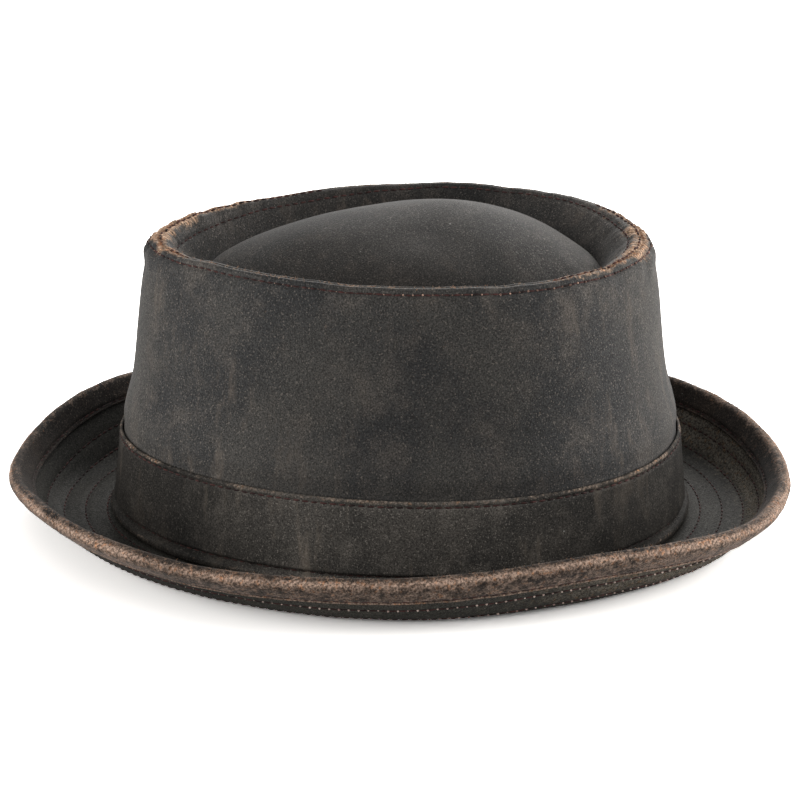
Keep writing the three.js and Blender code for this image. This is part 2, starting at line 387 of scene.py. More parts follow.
# %% [markdown]
# The top is one egg-shaped piece, pushed in to make a channel round a low dome. It is laid from
# the ridge seam inwards: down the steep inner side of the ridge, round the bottom of the channel
# and up over the dome, which stands further back than the middle of the hat. The grid's inner
# edge closes to one point on top of the dome.

# %% Crown top
CHANNEL_SHARES = [
    # inset along the hat, inset across it, drop, as shares of the channel's inset and depth
    (-0.004, -0.004, 0.120),
    (0.004, 0.004, 0.045),
    (0.035, 0.030, 0.000),
    (0.130, 0.090, 0.010),
    (0.260, 0.170, 0.070),
    (0.400, 0.260, 0.200),
    (0.540, 0.380, 0.480),
    (0.700, 0.570, 0.820),
    (0.860, 0.790, 0.970),
    (1.000, 1.000, 1.000),
]
DOME_FLANK = 1.75
DOME_CAP = 0.66
DOME_SHARES = [0.95, 0.90, 0.84, 0.76, 0.66, 0.54, 0.40, 0.26, 0.12, 0.0, -0.12]
CHANNEL_BOTTOM = SEAM_HEIGHT - CHANNEL_DEPTH


def channel_row(along, across, drop):
    length = SEAM_LENGTH - 2 * CHANNEL_INSET * along
    width = SEAM_WIDTH - 2 * CHANNEL_INSET * across
    return (SEAM_HEIGHT - CHANNEL_DEPTH * drop, length, width, 0.0)


def dome_row(share):
    height = DOME_HEIGHT * (1 - abs(share) ** DOME_FLANK) ** DOME_CAP
    length = share * (SEAM_LENGTH - 2 * CHANNEL_INSET)
    width = share * (SEAM_WIDTH - 2 * CHANNEL_INSET)
    return (CHANNEL_BOTTOM + height, length, width, DOME_SHIFT * (1 - share))


TIP_ROWS = [channel_row(*shares) for shares in CHANNEL_SHARES]
TIP_ROWS += [dome_row(share) for share in DOME_SHARES]
TIP_MARKS = way_marks(TIP_ROWS)
TIP_CREST = TIP_MARKS[2]
TIP_POLE = TIP_MARKS[-2]
print("top cloth from the ridge to the top of the dome, mm:", round((TIP_POLE - TIP_CREST) / MM, 1))
tip_section = lru_cache(maxsize=None)(partial(run_through, TIP_ROWS, TIP_MARKS))


# %% [markdown]
# The dome is soft too. Broad dents lie all over it, a crease and a shallow hollow on its slope to
# the wearer's left, and at the back the channel is fuller, which softens the dome's foot there.


# %% Softness of the top
def tip_base(angle, way):
    height, length, width, shift = tip_section(way)
    from_seam = way - TIP_CREST
    rise = (RIDGE_SIDE_RISE * sin(angle) ** 2 + ridge_wave(angle)) * near(max(from_seam, 0), 12 * MM)
    point = oval(angle, length, width, SEAM_EGG, SEAM_FULLNESS, height + rise)
    point.y += shift
    return point


def inner_stitch_drop(angle):
    """Way from the seam to the top stitches on the channel's side: wider towards the front."""
    front = smooth_step((0.15 - cos(angle)) / 0.6)
    return (2.3 + 1.9 * front + (0.6 + 2.0 * front) * ridge_end(angle)) * MM


def tip_relief(angle, way, point):
    """Dents, a crease, the fuller channel at the back, the stitch line and the creased ridge."""
    from_seam = way - TIP_CREST
    on_dome = smooth_step((from_seam - 10 * MM) / (14 * MM))
    dents = MM * (0.9 * noise.noise(point * 24) + 0.35 * noise.noise(point * 55)) * on_dome
    crease = 0.9 * MM * near(angle - 0.38, 0.07) * on_dome * near(from_seam - 24 * MM, 12 * MM)
    at_back = smooth_step((cos(angle + 0.2) - 0.6) / 0.4)
    fuller = 4.5 * MM * at_back * near(from_seam - 16 * MM, 12 * MM)
    from_hollow = Vector(((point.x - 22 * MM) / (14 * MM), (point.y - 10 * MM) / (22 * MM))).length
    hollow = -1.2 * MM * near(from_hollow, 1.0) * on_dome
    line = -0.45 * MM * near(from_seam - inner_stitch_drop(angle), 0.9 * MM)
    roll = 0.35 * MM * near(from_seam - 1.6 * MM, 1.3 * MM)
    return dents + crease + (fuller + hollow) + line + roll + pucker(angle, from_seam)


def crown_top(angle, way, height=0.0):
    """Near its pole the piece is level, and its height is measured straight up."""
    if way > TIP_POLE - 1.5 * MM:
        point = tip_base(angle, way)
        return point + UP * (height + tip_relief(0.0, TIP_POLE, tip_base(0.0, TIP_POLE)))
    return raised(tip_base, tip_relief, angle, way, height)


def tip_wear(angle, way):
    return ridge_wear(angle, max(way - TIP_CREST, 0.0))


crown_top_ways = steps_between([
    (0.0, 0),
    (TIP_CREST + 9 * MM, 0.5 * MM),
    (TIP_MARKS[9] + 4 * MM, 1.0 * MM),
    (TIP_POLE, 1.7 * MM),
])
crown_top_cloth = sew_round(
    "crown_top_cloth", crown_top, crown_top_ways, tip_wear, CROWN_WALL * 0.8,
    "crown_tip",
)

# %% [markdown]
# The hatband is a strip with both edges folded under. It lies on the foot of the crown wall: its
# section starts under the lower hem, goes round the fold, up the outside and in over the top
# fold. The two lines of stitches that hold the hems pull the cloth in a little.

# %% Hatband
BAND_SECTION = [
    # height over the crown's foot, reach out from the crown wall, in millimetres
    (1.4, 0.40),
    (0.35, 0.70),
    (0.15, 1.60),
    (0.70, 2.35),
    (2.6, 2.95),
    (4.7, 1.95),
    (7.0, 1.70),
    (16.0, 1.70),
    (26.0, 1.70),
    (30.2, 1.72),
    (31.5, 1.62),
    (32.0, 1.05),
    (31.7, 0.50),
    (30.6, 0.35),
]
BAND_ROWS = [(height * MM, reach * MM) for height, reach in BAND_SECTION]
BAND_MARKS = way_marks(BAND_ROWS, wide=1, halved=1)
BAND_HEM_STITCH = BAND_MARKS[5]
BAND_TOP = BAND_MARKS[11]
BAND_TOP_STITCH = BAND_MARKS[9] - 0.3 * MM
band_section = lru_cache(maxsize=None)(partial(run_through, BAND_ROWS, BAND_MARKS))
print("hatband cloth across, with its hems, mm:", round(BAND_MARKS[-1] / MM, 1))


def on_wall(angle, height, reach):
    """Point at a height over the crown's foot and a reach out from the wall's straight foot."""
    turn = 0.72 * height / CROWN_HEIGHT
    length = mix(HEAD_LENGTH, SHOULDER_LENGTH, turn) + 2 * reach
    width = mix(HEAD_WIDTH, SHOULDER_WIDTH, turn) + 2 * reach
    share = height / CROWN_HEIGHT
    egg = mix(HEAD_EGG, SEAM_EGG, share)
    fullness = mix(HEAD_FULLNESS, SEAM_FULLNESS, share)
    rise = RIDGE_SIDE_RISE * share * sin(angle) ** 2
    return oval(angle, length, width, egg, fullness, CROWN_FOOT + height + rise)


# %% [markdown]
# The band follows the wall under it, is a little loose in the middle of its height, and is rubbed
# along its top fold, which also carries a painted highlight, and along the fat fold of its lower hem.


# %% Lay of the hatband
def band_relief(angle, way):
    middle = near(way - (BAND_HEM_STITCH + BAND_TOP_STITCH) / 2, 11 * MM)
    soft = MM * 0.30 * round_noise(angle, 9, way * 30, 6) * middle
    ripple = MM * 0.12 * round_noise(angle, 3, way * 60, 7)
    hem_line = -0.65 * MM * near(way - BAND_HEM_STITCH, 0.8 * MM)
    top_line = -0.45 * MM * near(way - BAND_TOP_STITCH, 0.6 * MM)
    return soft + ripple + hem_line + top_line


def hatband(angle, way, height=0.0):
    level, reach = band_section(way)
    above, further = band_section(way + 0.1 * MM)
    along = hypot(above - level, further - reach)
    lift = height + band_relief(angle, way)
    level -= lift * (further - reach) / along
    reach += lift * (above - level) / along
    return on_wall(angle, level, reach)


def band_wear(angle, way):
    patch = 0.55 + 0.45 * round_noise(angle, 6, 0, 8)
    top = 0.85 * patch * near(way - BAND_TOP + 0.5 * MM, 1.1 * MM)
    hem = 0.50 * patch * near(way - BAND_MARKS[4], 0.9 * MM)
    return top + hem


hatband_ways = steps_between([
    (0.0, 0),
    (BAND_MARKS[6], 0.45 * MM),
    (BAND_TOP_STITCH - 1.5 * MM, 1.8 * MM),
    (BAND_MARKS[-1], 0.3 * MM),
])
hatband_cloth = sew_round(
    "hatband_cloth", hatband, hatband_ways, band_wear, 0.45 * MM, "hatband"
)

# %% [markdown]
# The brim leaves the crown level, bends, and then runs up straight to its edge. How far it stays
# level and how much it curls changes round the hat, so a closed table gives both, and the
# profile at each angle is added up in small steps along the cloth. Its two cloths lie on each
# other and are quilted together by four rows of stitches.

# %% Brim
BRIM_SHARES = [
    # level part as a share of the brim's width, and its curl in degrees, every 30 degrees
    (0.42, 57),
    (0.32, 48),
    (0.27, 54),
    (0.35, 53),
    (0.30, 43),
    (0.26, 48),
    (0.38, 50),
    (0.18, 55),
    (0.24, 54),
    (0.30, 53),
    (0.28, 54),
    (0.30, 55),
]
PROFILE_STEP = 0.5 * MM
PROFILE_STEPS = 100
QUILT_ROWS = 4
QUILT_PITCH = 8.2 * MM


def brim_shape(angle):
    """Level part and curl of the brim at an angle, on a smooth closed curve."""
    count = len(BRIM_SHARES)
    place = (angle / tau * count) % count
    row = int(place)
    share = place - row
    near_rows = [BRIM_SHARES[(row + offset) % count] for offset in (-1, 0, 1, 2)]
    values = []
    for before, start, end, after in zip(*near_rows):
        values.append(curve_between(share, start, (end - before) / 2, end, (after - start) / 2))
    return values[0] * BRIM_WIDTH, radians(values[1])


print("level part of the brim at the back, mm:", round(brim_shape(0.0)[0] / MM, 1))

# %% [markdown]
# The brim's cloth keeps its width however much it curls, so its profile is walked in half
# millimetre steps that each lean a little more than the one before.


# %% Profile of the brim
def brim_lean(level, curl, way):
    return curl * smooth_step((way - level) / BRIM_BEND)


@lru_cache(maxsize=None)
def brim_profile(angle):
    """How far out and up the brim has come, at each small step along its cloth."""
    level, curl = brim_shape(angle)
    out = up = 0.0
    steps = [(out, up)]
    for step in range(PROFILE_STEPS):
        lean = brim_lean(level, curl, (step + 0.5) * PROFILE_STEP)
        out += PROFILE_STEP * cos(lean)
        up += PROFILE_STEP * sin(lean)
        steps.append((out, up))
    return level, curl, steps


@lru_cache(maxsize=None)
def brim_root(angle):
    """Point of the head oval and the level direction out of it."""
    def head(turn):
        return oval(turn, HEAD_LENGTH, HEAD_WIDTH, HEAD_EGG, HEAD_FULLNESS, BRIM_THICKNESS / 2)
    along = head(angle + SMALL_TURN) - head(angle - SMALL_TURN)
    return head(angle), along.cross(UP).normalized() * -1


def brim_point(angle, way, height):
    """Point at a way along the brim from the crown wall and a height over its middle."""
    level, curl, steps = brim_profile(angle)
    place = max(way, 0.0) / PROFILE_STEP
    step = min(int(place), PROFILE_STEPS - 1)
    share = place - step
    out = mix(steps[step][0], steps[step + 1][0], share) + min(way, 0.0)
    up = mix(steps[step][1], steps[step + 1][1], share)
    lean = brim_lean(level, curl, way)
    towards_edge = max(way / BRIM_WIDTH, 0.0)
    wave = MM * 0.5 * round_noise(angle, 14, 0, 9) * towards_edge ** 3
    # The brim's edge is a little fuller at two places of the wearer's left side.
    fuller = (2.6 * near(angle - 0.52, 0.25) + 2.6 * near(angle - 2.54, 0.22)) * MM * towards_edge ** 2
    root, outwards = brim_root(angle)
    out += wave + fuller - height * sin(lean)
    up += height * cos(lean)
    return root + outwards * out + UP * up


# %% [markdown]
# Quilting: each row of stitches presses a narrow groove into both cloths, and the cloth between
# two rows is slightly uneven. The relief goes below the plain face and hardly above it, so the
# two cloths stay within the real thickness.


# %% Quilted brim cloths
def quilt_way(row, angle):
    """Way of a stitch row from the crown wall: the rows lie a little further out at the back."""
    return 5.6 * MM + row * QUILT_PITCH + 1.4 * MM * cos(angle)


def quilt(angle, way):
    """Relief of the quilting, which hardly rises above the plain face of the cloth."""
    lines = sum(near(way - quilt_way(row, angle), 1.0 * MM) for row in range(QUILT_ROWS))
    soft = round_noise(angle, 7, way * 45, 10) - 0.6
    return MM * (0.14 * soft - 0.26 * min(lines, 1.0))


def brim_upper(angle, way, height=0.0):
    return brim_point(angle, way, BRIM_THICKNESS / 2 + quilt(angle, way) + height)


def brim_under(angle, way, height=0.0):
    return brim_point(angle, way, -BRIM_THICKNESS / 2 - quilt(angle, way) - height)


def brim_wear(angle, way):
    """The crests between the rows are rubbed a little, and the curl at the back is painted lighter, as
    painted light on a side that lies in shade.
    """
    lines = max(near(way - quilt_way(row, angle), 2.2 * MM) for row in range(QUILT_ROWS))
    crests = 0.25 * (1 - lines) * (0.5 + 0.5 * round_noise(angle, 6, way * 60, 11))
    # Painted light: the curl at the back is made lighter where it lies in shade.
    curl = smooth_step((way - 16 * MM) / (12 * MM)) * smooth_step((cos(angle) - 0.1) / 0.5)
    return crests + 0.75 * curl


brim_ways = steps_between([
    (-CROWN_WALL, 0),
    (BRIM_WIDTH - BINDING_WIDTH, 0.75 * MM),
    (BRIM_WIDTH, 2.4 * MM),
])
brim_upper_cloth = sew_round(
    "brim_upper_cloth", brim_upper, brim_ways, brim_wear, BRIM_PLY * 0.85,
    "brim_upper",
)
brim_under_cloth = sew_round(
    "brim_under_cloth", brim_under, brim_ways, brim_wear, BRIM_PLY * 0.85,
    "brim_under",
)

# %% [markdown]
# The binding is a strip folded over the brim's edge, with its own edges turned under. Its section
# starts under the lower hem, runs out along the under side, round the edge and back along the
# upper side. The line of stitches that holds it pulls both faces in.

# %% Binding
BINDING_HALF = [
    # way from the hem towards the fold, height over the brim's middle, in millimetres
    (1.8, 1.55),
    (0.35, 1.75),
    (0.00, 2.15),
    (0.45, 2.60),
    (1.6, 2.55),
    (3.0, 2.75),
    (6.5, 2.80),
    (8.9, 2.70),
    (10.3, 1.95),
    (10.9, 0.0),
]
UNDER_HALF = [(way * MM, -height * MM) for way, height in BINDING_HALF]
UPPER_HALF = [(way * MM, height * MM) for way, height in reversed(BINDING_HALF[:-1])]
BINDING_ROWS = UNDER_HALF + UPPER_HALF
BINDING_MARKS = way_marks(BINDING_ROWS, wide=1, halved=1)
BINDING_FOLD = BINDING_MARKS[9]
BINDING_UNDER_STITCH = BINDING_MARKS[4] - 0.1 * MM
BINDING_UPPER_STITCH = BINDING_MARKS[-5] + 0.1 * MM
binding_section = lru_cache(maxsize=None)(partial(run_through, BINDING_ROWS, BINDING_MARKS))
print("binding strip across, with its hems, mm:", round(BINDING_MARKS[-1] / MM, 1))


# %% [markdown]
# The folded strip ripples between its stitches. It takes the hardest wear of the whole hat: the
# outside has lost most of its wax, and the fold and the lips of the hems are bare.


# %% Ripple and wear of the binding
def binding_relief(angle, way):
    coarse = 0.22 * round_noise(angle, 5, way * 40, 12)
    ripple = MM * (coarse + 0.12 * round_noise(angle, 1.8, way * 90, 13))
    lines = near(way - BINDING_UNDER_STITCH, 0.6 * MM) + near(way - BINDING_UPPER_STITCH, 0.6 * MM)
    return ripple - 0.5 * MM * lines


def binding(angle, way, height=0.0):
    inwards, half = binding_section(way)
    further, higher = binding_section(way + 0.1 * MM)
    along = hypot(further - inwards, higher - half)
    lift = height + binding_relief(angle, way)
    reach = inwards + lift * (higher - half) / along
    half -= lift * (further - inwards) / along
    return brim_point(angle, BRIM_WIDTH - BINDING_WIDTH + reach, half)


def binding_wear(angle, way):
    """The outside of the binding is rubbed in patches, most of all next to the fold, where the extra
    wear also paints the fold's highlight, and so are the rim just inside the fold and the lips of its
    two hems."""
    outside = smooth_step((BINDING_FOLD + 1.2 * MM - way) / (2.5 * MM))
    patch = smooth_step(0.5 + 0.8 * round_noise(angle, 6, way * 40, 14))
    fold_wear_and_highlight = near(way - BINDING_FOLD + 0.6 * MM, 1.4 * MM)
    lip = near(way - BINDING_MARKS[3], 0.5 * MM) + 0.6 * near(way - BINDING_MARKS[-4], 0.5 * MM)
    at_back = smooth_step((cos(angle) - 0.7) / 0.25)
    inside = (1 - outside) * at_back * (0.10 + 0.20 * patch)
    rim = near(way - BINDING_FOLD - 2.4 * MM, 2.4 * MM) * (0.30 + 0.25 * patch)
    outer = outside * (0.50 + 0.15 * patch - 0.09 * near(cos(angle), 0.6))
    return min(outer + inside + rim + fold_wear_and_highlight * (0.30 + 0.25 * patch) + 0.4 * lip, 1.0)


binding_ways = steps_between([(0.0, 0), (BINDING_MARKS[-1], 0.55 * MM)])
binding_cloth = sew_round(
    "binding_cloth", binding, binding_ways, binding_wear, 0.6 * MM, "brim_binding"
)

# %% [markdown]
# Each stitch is one small bead of thread, lying along its row and leaning a little its own way. A
# row is measured along its real length, so that the stitches are evenly spaced whatever the angle
# does. Where the thread dives into the cloth it makes a knot, which is a smaller bead of its own.
# Beads of 6 by 4 faces are enough: a stitch is only about 3 mm long.

# %% Stitches
STITCH_PITCH = 3.4 * MM
THREAD = 0.75 * MM
KNOT = 0.85 * MM
ROW_SAMPLES = 720
ROW_TURN = 0.006


def row_angles(face, way_at, pitch):
    """Angles of evenly spaced places along a row of stitches."""
    angles = [tau * i / ROW_SAMPLES for i in range(ROW_SAMPLES + 1)]
    line = [face(angle, way_at(angle)) for angle in angles]
    reach = [0.0]
    for here, after in zip(line, line[1:]):
        reach.append(reach[-1] + (after - here).length)
    count = round(reach[-1] / pitch)
    places = []
    for i in range(count):
        goal = reach[-1] * i / count
        step = bisect_right(reach, goal) - 1
        share = (goal - reach[step]) / (reach[step + 1] - reach[step])
        places.append(mix(angles[step], angles[step + 1], share))
    return places


def frame_on(face, angle, way, ahead_way):
    """Point of a face, the direction of its row there, and its normal."""
    point = face(angle, way)
    ahead = (face(angle + ROW_TURN, ahead_way) - point).normalized()
    normal = (face(angle, way, MM) - point).normalized()
    return point, ahead, normal


def everywhere(angle):
    return 1.0


band_row = row_angles(hatband, lambda angle: BAND_TOP_STITCH, STITCH_PITCH)
print("stitches in one row of the hatband:", len(band_row))

# %% [markdown]
# Each bead's place, turn and size is one matrix. Chance makes the stitches as uneven as sewing
# by machine through thick cloth: a little longer or shorter, and a little askew.

# %% One row of stitches


def row_beads(face, way_at, chance, thickness, shown, knotted):
    """The place, turn and size of each stitch of a row and of the knot behind it, as matrices."""
    beads, knots = [], []
    for angle in row_angles(face, way_at, STITCH_PITCH):
        if shown(angle) < 0.1:
            continue
        knot_share = knotted(angle) if knotted else 1.0
        way = way_at(angle)
        point, ahead, normal = frame_on(face, angle, way, way_at(angle + ROW_TURN))
        lean = normal * chance.uniform(0.02, 0.10) + normal.cross(ahead) * chance.uniform(-0.08, 0.08)
        ahead = (ahead + lean).normalized()
        side = normal.cross(ahead).normalized()
        turned = Matrix((side, ahead.cross(side), ahead)).transposed().to_4x4()
        length = STITCH_PITCH * chance.uniform(0.74, 0.84)
        size = Matrix.Diagonal((thickness / 2, thickness / 2, length / 2, 1))
        stitch = Matrix.Translation(point + normal * 0.05 * MM) @ turned
        knot_size = Matrix.Diagonal((KNOT * knot_share * chance.uniform(0.35, 0.55),) * 3 + (1,))
        beads.append(stitch @ size)
        knots.append(stitch @ Matrix.Translation((0, 0, STITCH_PITCH / 2)) @ knot_size)
    return beads, knots


# %% [markdown]
# Thousands of beads go into one piece. An operator that adds a bead looks through its whole bmesh,
# so the beads are made in small batches that are joined afterwards, which takes seconds and not
# minutes.

# %% Scattering small shapes
BATCH = 40
bead = partial(bmesh.ops.create_uvsphere, u_segments=6, v_segments=4, radius=1)
knot = partial(bmesh.ops.create_icosphere, subdivisions=1, radius=1)
knot_pieces = {}


def scatter(name, shape, places):
    """One piece from many small shapes, made in batches."""
    whole = bmesh.new()
    for start in range(0, len(places), BATCH):
        batch = bmesh.new()
        batch.loops.layers.uv.verify()
        for place in places[start:start + BATCH]:
            shape(batch, matrix=place, calc_uvs=True)
        part = bpy.data.meshes.new("batch")
        batch.to_mesh(part)
        batch.free()
        whole.from_mesh(part)
        bpy.data.meshes.remove(part)
    for each in whole.faces:
        each.smooth = True
    mesh = bpy.data.meshes.new(name)
    whole.to_mesh(mesh)
    whole.free()
    piece = bpy.data.objects.new(name, mesh)
    bpy.context.scene.collection.objects.link(piece)
    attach(piece, "root")
    print(name, "has", len(places), "shapes and", len(mesh.polygons), "faces")
    return piece


def sew_rows(name, rows, seed, knotted=None, thickness=THREAD, shown=everywhere):
    """Several rows of stitches, each a face and the way of the row on it, and their knots. A row
    is sewn where its stitches show, and knotted gives the knots' share of their full size."""
    chance = Random(seed)
    beads, knots = [], []
    for face, way_at in rows:
        row = row_beads(face, way_at, chance, thickness, shown, knotted)
        beads += row[0]
        knots += row[1]
    if knotted:
        knot_pieces[name] = scatter(name + "_knots", knot, knots)
    return scatter(name, bead, beads)


# %% [markdown]
# Every row of the real hat follows: the ridge's top stitches with their knots, the row inside the
# ridge, the two hems of the hatband, the quilting of both brim cloths, the seam's own thread where
# the ridge gapes, and the two sides of the binding.


# %% Rows of the crown and the hatband
def ridge_knots(angle):
    """The ridge's knots are worn small along the front half of the wearer's left side."""
    front_half = near(angle - 2.2, 0.75)
    return 1.15 + 0.2 * round_noise(angle, 12, 0, 19) - 0.75 * front_half


ridge_stitches = sew_rows("ridge_stitches", [
    (crown_wall, lambda angle: WALL_CREST - RIDGE_STITCH_DROP),
], 11, ridge_knots)
inner_stitches = sew_rows("inner_stitches", [
    (crown_top, lambda angle: TIP_CREST + inner_stitch_drop(angle)),
], 17)
band_stitches = sew_rows("band_stitches", [
    (hatband, lambda angle: BAND_HEM_STITCH),
    (hatband, lambda angle: BAND_TOP_STITCH),
], 12)


# %% [markdown]
# The brim's rows and the seam's thread are sewn in the same way. The under side's knots are worn
# small towards the front, and the seam's thread only shows where the ridge gapes.


# %% Rows of the brim, the seam and the binding
def seam_way(angle):
    """Way of the ridge seam's own thread, which shows a little further in on the far side."""
    return TIP_CREST + (0.3 - 0.5 * sin(angle)) * MM


def curl_knots(angle):
    """The under side's knots are worn small towards the front."""
    return 0.35 + 0.65 * smooth_step((cos(angle) + 0.45) / 0.25)


def seam_opens(angle):
    """Where the ridge seam gapes enough to show its thread."""
    return max(ridge_end(angle), smooth_step((-cos(angle) - 0.3) / 0.3) * smooth_step(-sin(angle) / 0.3))


quilt_ways = [partial(quilt_way, row) for row in range(QUILT_ROWS)]
upper_rows = [(brim_upper, way_at) for way_at in quilt_ways]
under_rows = [(brim_under, way_at) for way_at in quilt_ways]
brim_upper_stitches = sew_rows("brim_upper_stitches", upper_rows, 13)
flat_stitches = sew_rows("flat_stitches", under_rows[:2], 18)
curl_stitches = sew_rows("curl_stitches", under_rows[2:], 14, curl_knots)
seam_stitches = sew_rows("seam_stitches", [(crown_top, seam_way)], 16, thickness=MM, shown=seam_opens)
binding_stitches = sew_rows("binding_stitches", [
    (binding, lambda angle: BINDING_UNDER_STITCH),
    (binding, lambda angle: BINDING_UPPER_STITCH),
], 15)

# %% [markdown]
# Rubbed edges fray: short tan fibres stand up along the ridge seam, thickest at the front and
# the back, and on the fold of the binding. Each fibre is a thin three-sided spike, so thousands
# of them stay light.

# %% Frayed fibres
FIBRE = 0.16 * MM
spike = partial(bmesh.ops.create_cone, cap_ends=True, segments=3, radius1=0.5, radius2=0.12, depth=1)


def fray(name, face, way, spread, count, lengths, weight, seed):
    """Fibres scattered along a line of a face, where a weight says how likely they are."""
    chance = Random(seed)
    places = []
    while len(places) < count:
        angle = chance.uniform(0, tau)
        if chance.random() > weight(angle):
            continue
        at = way + chance.gauss(0, spread)
        point, ahead, normal = frame_on(face, angle, at, at)
        side = normal.cross(ahead)
        stray = ahead * chance.uniform(-1, 1) + side * chance.uniform(-1, 1)
        direction = (normal * chance.uniform(0.1, 0.9) + stray).normalized()
        length = chance.uniform(*lengths)
        turned = direction.to_track_quat("Z", "Y").to_matrix().to_4x4()
        size = Matrix.Diagonal((FIBRE, FIBRE, length, 1))
        places.append(Matrix.Translation(point + direction * length * 0.4) @ turned @ size)
    return scatter(name, spike, places)


def fray_weight(angle):
    patch = 0.5 + 0.5 * round_noise(angle, 6, 0, 15)
    return 0.05 + 0.95 * ridge_end(angle) * patch


ridge_fray = fray(
    "ridge_fray", crown_wall, WALL_CREST + 0.2 * MM, spread=0.5 * MM, count=1500,
    lengths=(0.6 * MM, 1.7 * MM), weight=fray_weight, seed=21,
)
top_fray = fray(
    "top_fray", crown_top, TIP_CREST - 0.1 * MM, spread=0.5 * MM, count=1100,
    lengths=(0.6 * MM, 1.6 * MM), weight=fray_weight, seed=22,
)
binding_fray = fray(
    "binding_fray", binding, BINDING_FOLD, spread=1.5 * MM, count=1500,
    lengths=(0.5 * MM, 1.3 * MM), weight=everywhere, seed=23,
)

# %% [markdown]
# Materials. Waxed cotton is a tight twill, soaked with wax that has moved about: where it is
# thick the cloth is nearly black, where it is thin the cloth is dusty, and where an edge rubs the
# bare brown cotton shows. Each of these effects is one node group with named inputs, built once
# and used by every cloth with its own values. The helpers below only shorten the wiring.


# %% Node helpers
def add_node(tree, kind, inputs=None, **settings):
    """Add a node: settings are its own options, inputs are values or links for its sockets."""
    made = tree.nodes.new("ShaderNode" + kind)
    for key, value in settings.items():
        setattr(made, key, value)
    for key, value in (inputs or {}).items():
        if isinstance(value, bpy.types.NodeSocket):
            tree.links.new(value, made.inputs[key])
        else:
            made.inputs[key].default_value = value
    return made


def maths(tree, operation, *values):
    return add_node(tree, "Math", dict(enumerate(values)), operation=operation).outputs[0]


def times(tree, colour, factor):
    """A colour made brighter or darker by a factor."""
    return add_node(tree, "VectorMath", {0: colour, 1: factor}, operation="MULTIPLY").outputs[0]


def blend(tree, share, first, second):
    """Blend of two colours."""
    inputs = {0: share, 6: first, 7: second}
    return add_node(tree, "Mix", inputs, data_type="RGBA").outputs[2]


def between(tree, value, low, high, bottom=0.0, top=1.0):
    """Smooth share of the way of a value from low to high."""
    inputs = {"Value": value, "From Min": low, "From Max": high, "To Min": bottom, "To Max": top}
    return add_node(tree, "MapRange", inputs, interpolation_type="SMOOTHSTEP").outputs["Result"]


def noise_at(tree, where, scale, detail=3.0, roughness=0.55):
    inputs = {"Vector": where, "Scale": scale, "Detail": detail, "Roughness": roughness}
    return add_node(tree, "TexNoise", inputs).outputs["Fac"]


def new_group(name, inputs, outputs):
    """An empty node group with its sockets, each a name and a kind of value."""
    tree = bpy.data.node_groups.new(name, "ShaderNodeTree")
    for way, sockets in (("INPUT", inputs), ("OUTPUT", outputs)):
        for label, kind in sockets:
            tree.interface.new_socket(label, in_out=way, socket_type="NodeSocket" + kind)
    into, out_of = tree.nodes.new("NodeGroupInput"), tree.nodes.new("NodeGroupOutput")
    return tree, into.outputs, out_of.inputs


def use_group(tree, group, inputs):
    made = tree.nodes.new("ShaderNodeGroup")
    made.node_tree = group
    for key, value in inputs.items():
        if isinstance(value, bpy.types.NodeSocket):
            tree.links.new(value, made.inputs[key])
        else:
            made.inputs[key].default_value = value
    return made.outputs


# %% [markdown]
# The first group is the waxed colour: broad blotches, a dusty haze in smaller patches, and the
# fine salt-and-pepper grain of the yarns. It also gives the grain as a height for the bump.

# %% Waxed colour
wax_tree, wax_in, wax_out = new_group(
    "waxed_cotton",
    [("Where", "Vector"), ("Deep", "Color"), ("Body", "Color"), ("Dusty", "Color"), ("Haze", "Float")],
    [("Color", "Color"), ("Height", "Float")],
)
blotch = between(wax_tree, noise_at(wax_tree, wax_in["Where"], 24, 4), 0.38, 0.62)
patchy = between(wax_tree, noise_at(wax_tree, wax_in["Where"], 70, 7, 0.68), 0.46, 0.72)
yarns = noise_at(wax_tree, wax_in["Where"], 1700, 2, 0.7)
flecks = between(wax_tree, noise_at(wax_tree, wax_in["Where"], 1500, 1, 0.6), 0.60, 0.72)
base = blend(wax_tree, blotch, wax_in["Deep"], wax_in["Body"])
hazed = blend(wax_tree, maths(wax_tree, "MULTIPLY", patchy, wax_in["Haze"]), base, wax_in["Dusty"])
bright = between(wax_tree, yarns, 0.32, 0.68, 0.5, 1.56)
varied = times(wax_tree, hazed, bright)
pale = add_node(wax_tree, "VectorMath", {0: wax_in["Dusty"], "Scale": 2.4}, operation="SCALE").outputs[0]
flecked = blend(wax_tree, maths(wax_tree, "MULTIPLY", flecks, 0.55), varied, pale)
wax_tree.links.new(flecked, wax_out["Color"])
grain_height = maths(wax_tree, "ADD", yarns, maths(wax_tree, "MULTIPLY", flecks, 0.3))
wax_tree.links.new(grain_height, wax_out["Height"])
print("group", wax_tree.name, "has", len(wax_tree.nodes), "nodes")

# %% [markdown]
# The second group is the lint that a dark cloth picks up: tiny dots in some of the cells of a
# Voronoi pattern. The third turns the painted wear into a ragged mask, because wax breaks off in
# crumbs. The fourth is the twill, diagonal ribs that follow the cloth's own UV map.

# %% Lint, rubbed edges and twill
lint_tree, lint_in, lint_out = new_group(
    "lint", [("Where", "Vector"), ("Scale", "Float")], [("Mask", "Float")]
)
dots = add_node(lint_tree, "TexVoronoi", {"Vector": lint_in["Where"], "Scale": lint_in["Scale"]})
dot_colour = add_node(lint_tree, "SeparateColor", {0: dots.outputs["Color"]}).outputs
small = between(lint_tree, dots.outputs["Distance"], 0.035, 0.015)
kept = maths(lint_tree, "GREATER_THAN", dot_colour[0], 0.55)
lint_mask = maths(lint_tree, "MULTIPLY", maths(lint_tree, "MULTIPLY", small, kept), dot_colour[1])
lint_tree.links.new(lint_mask, lint_out["Mask"])

